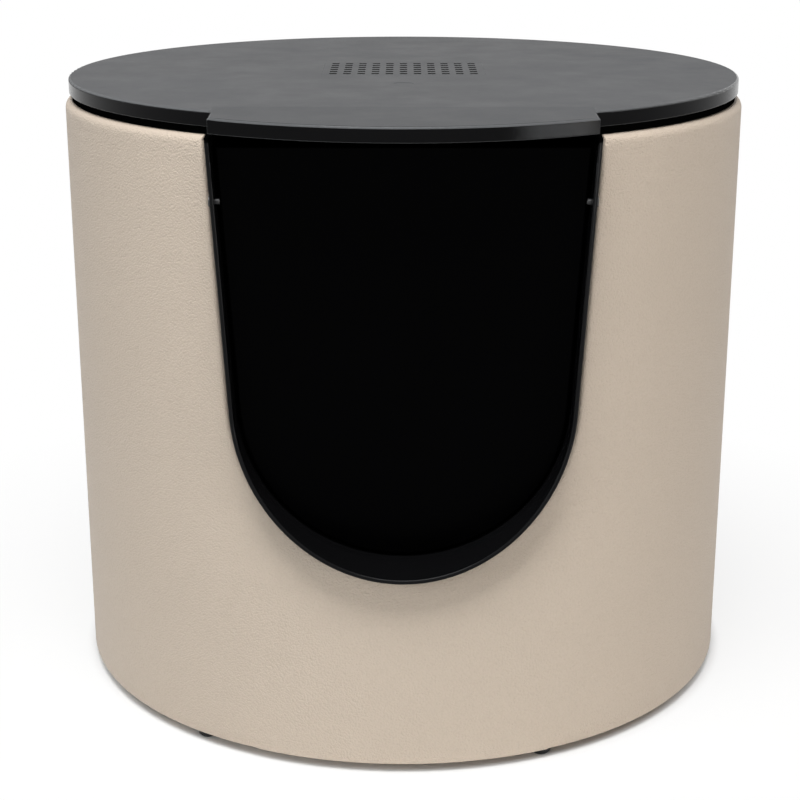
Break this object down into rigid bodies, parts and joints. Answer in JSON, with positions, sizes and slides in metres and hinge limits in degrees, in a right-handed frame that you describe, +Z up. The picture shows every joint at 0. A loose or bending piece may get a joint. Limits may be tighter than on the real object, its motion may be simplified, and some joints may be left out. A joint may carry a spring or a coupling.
{
  "type": "covered litter box",
  "caption": "Round leather-covered drum with a lift-out bucket, a U-shaped entry with a swinging flap, and a lift-off vented lid with a filter tray.",
  "frame": {"origin": "on the floor, under the drum's vertical axis", "axes": "+Z up, the entry faces -Y, +X to the right seen from the front"},
  "size_m": [0.5, 0.514, 0.45],
  "materials": {
    "leather": "grained",
    "foam": "matte",
    "board": "matte",
    "steel": "satin",
    "foot": "matte",
    "bucket": "satin",
    "lid": "satin",
    "flap": "gloss",
    "pin": "satin",
    "filter": "matte"
  },
  "bodies": {
    "drum": {"leather_cover": "leather", "foam_padding": "foam", "drum_shell": "board", "base_board": "board", "foot_screws": "steel", "base_screws": "steel", "foot_1": "foot", "foot_2": "foot", "foot_3": "foot", "foot_4": "foot", "foot_5": "foot", "foot_6": "foot"},
    "bucket": {"inner_bucket": "bucket"},
    "flap": {"flap_panel": "flap", "flap_pin_left": "pin", "flap_pin_right": "pin"},
    "lid": {"lid": "lid", "vent_grille": "lid"},
    "filter": {"filter_frame": "lid", "carbon_filter": "filter"}
  },
  "joints": [
    {"name": "bucket_lift", "type": "slide", "parent": "drum", "child": "bucket", "axis": [0, 0, 1], "range_m": [0, 0.45]},
    {"name": "flap_swing", "type": "hinge", "parent": "bucket", "child": "flap", "pos_m": [0, -0.21584, 0.3925], "axis": [1, 0, 0], "range_deg": [-75, 75]},
    {"name": "lid_lift", "type": "slide", "parent": "bucket", "child": "lid", "axis": [0, 0, 1], "range_m": [0, 0.25]},
    {"name": "filter_slide", "type": "slide", "parent": "lid", "child": "filter", "axis": [0, 1, 0], "range_m": [0, 0.08]}
  ]
}
